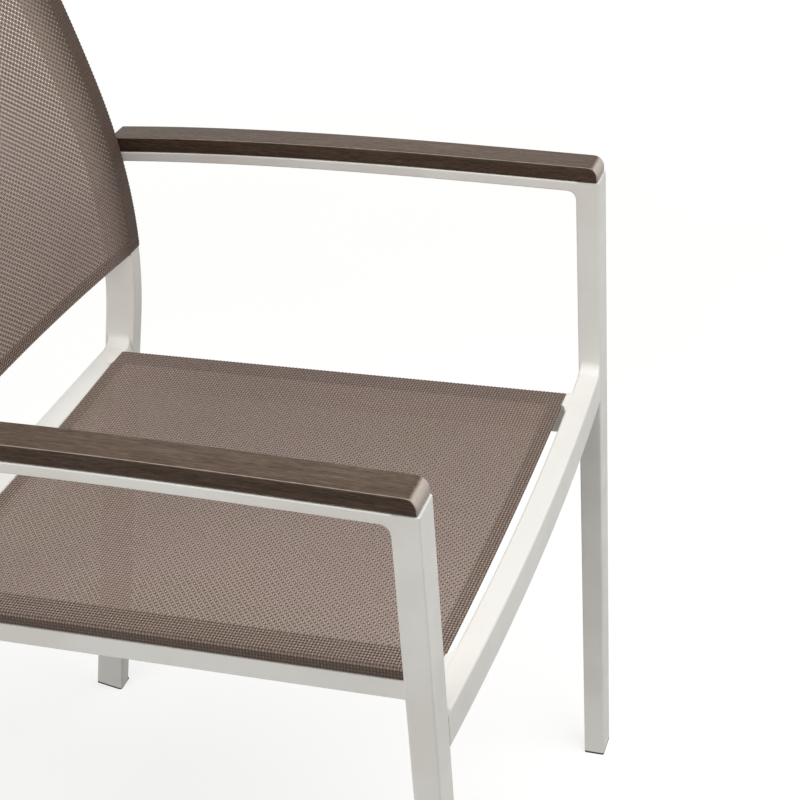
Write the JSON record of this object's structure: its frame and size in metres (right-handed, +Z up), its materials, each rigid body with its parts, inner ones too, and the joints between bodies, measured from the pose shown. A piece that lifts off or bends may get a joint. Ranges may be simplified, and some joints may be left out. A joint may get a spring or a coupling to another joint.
{
  "type": "sling patio chair",
  "caption": "Outdoor armchair: welded tube frame with raked rear legs, woven mesh slings held in side grooves, arched dark armrests",
  "frame": {"origin": "on the floor below the middle of the chair's overall width and depth", "axes": "+Z up, -Y towards the front, +X to the sitter's left"},
  "size_m": [0.52, 0.5694, 0.862],
  "materials": {
    "frame_coat": "satin warm white powder coat on aluminium tube",
    "armrest_slat": "dark brown brushed grain, satin",
    "sling_mesh": "taupe brown coated polyester basket weave",
    "foot_plastic": "black moulded glides",
    "cap_plastic": "off-white moulded plugs",
    "keder_plastic": "extruded plastic rod",
    "screw_steel": "stainless pan-head screws"
  },
  "bodies": {
    "root": {"front_leg_right": "frame_coat", "arm_bar_right": "frame_coat", "back_post_right": "frame_coat", "seat_side_rail_right": "frame_coat", "front_foot_cap_right": "foot_plastic", "rear_foot_cap_right": "foot_plastic", "post_cap_right": "cap_plastic", "seat_keder_right": "keder_plastic", "back_keder_right": "keder_plastic", "armrest_right": "armrest_slat", "armrest_screw_right_1": "screw_steel", "armrest_screw_right_2": "screw_steel", "armrest_screw_right_3": "screw_steel", "front_leg_left": "frame_coat", "arm_bar_left": "frame_coat", "back_post_left": "frame_coat", "seat_side_rail_left": "frame_coat", "front_foot_cap_left": "foot_plastic", "rear_foot_cap_left": "foot_plastic", "post_cap_left": "cap_plastic", "seat_keder_left": "keder_plastic", "back_keder_left": "keder_plastic", "armrest_left": "armrest_slat", "armrest_screw_left_1": "screw_steel", "armrest_screw_left_2": "screw_steel", "armrest_screw_left_3": "screw_steel", "front_rail": "frame_coat", "rear_rail": "frame_coat", "top_rail": "frame_coat", "seat_sling": "sling_mesh", "back_sling": "sling_mesh"}
  },
  "joints": []
}
